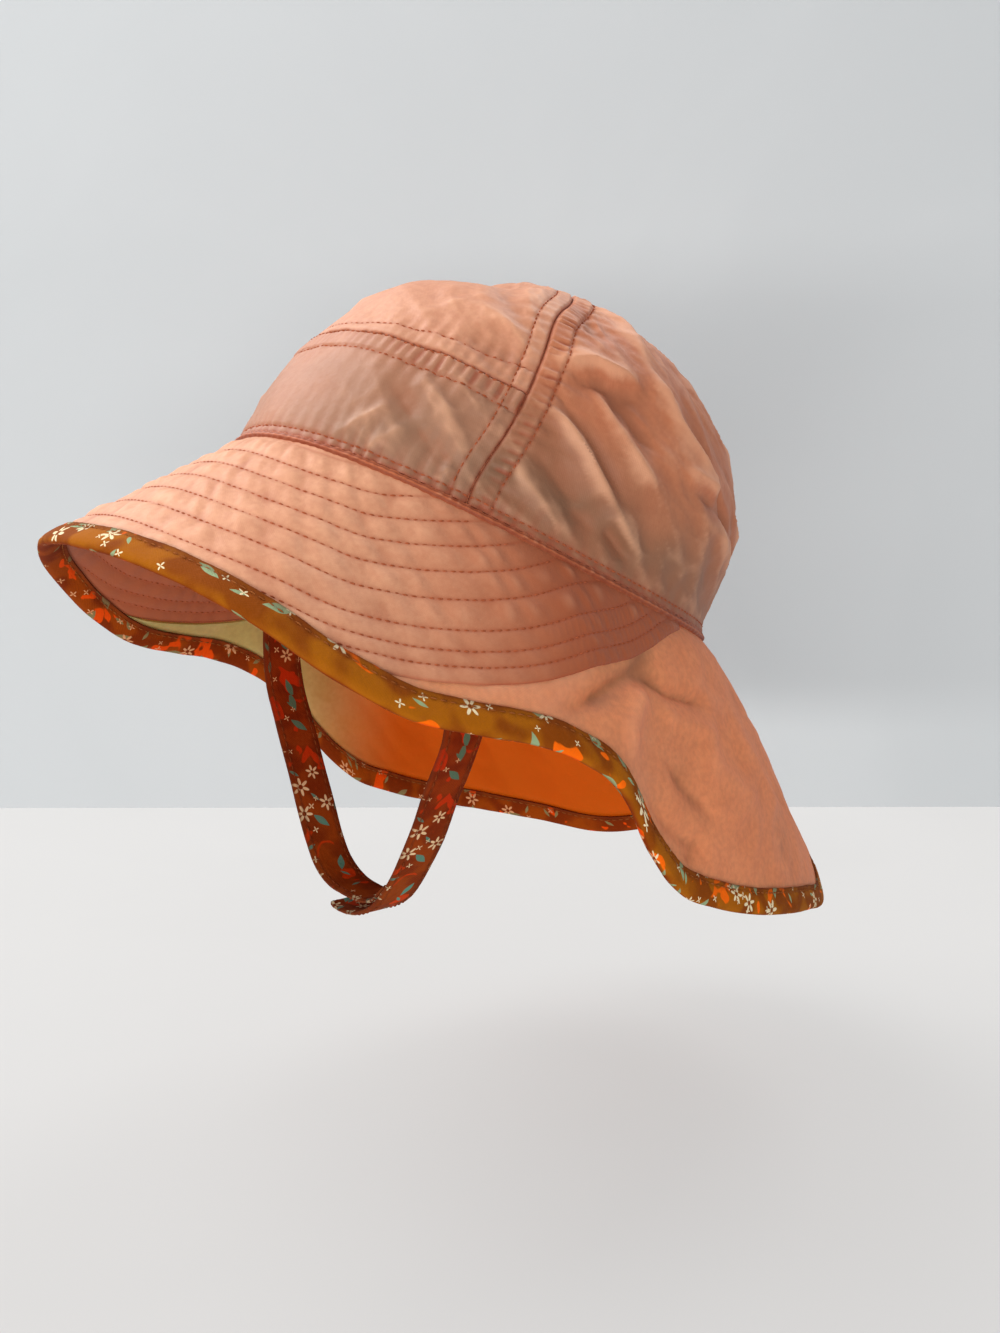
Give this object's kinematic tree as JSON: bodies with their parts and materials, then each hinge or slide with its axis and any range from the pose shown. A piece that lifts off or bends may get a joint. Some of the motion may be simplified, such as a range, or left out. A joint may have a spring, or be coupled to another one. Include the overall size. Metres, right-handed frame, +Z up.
{
  "type": "child's sun hat with neck flap and chin strap",
  "caption": "Child's sun hat in its worn form: panelled crown, quilted brim, lined neck flap, printed edge binding and a fastened chin strap.",
  "frame": {"origin": "centre of the head opening, where the head seats", "axes": "+Z up as worn, the front of the brim faces -Y, the wearer's left is +X; the hat leans back 25 degrees"},
  "size_m": [0.1922, 0.2724, 0.2132],
  "materials": {
    "nylon_upper": "matte",
    "nylon_front": "matte",
    "nylon_side": "matte",
    "nylon_brim": "matte",
    "nylon_flap": "matte",
    "lining": "matte",
    "printed_binding": "matte",
    "printed_strap": "matte"
  },
  "bodies": {
    "root": {"crown_front_lower": "nylon_front", "crown_front_upper": "nylon_upper", "crown_side_left": "nylon_side", "crown_side_right": "nylon_side", "crown_rolled_seam": "nylon_side", "brim_quilted": "nylon_brim", "neck_flap": "nylon_flap", "flap_lining": "lining", "edge_binding": "printed_binding", "chin_strap_left": "printed_strap", "chin_strap_right": "printed_strap"}
  },
  "joints": []
}
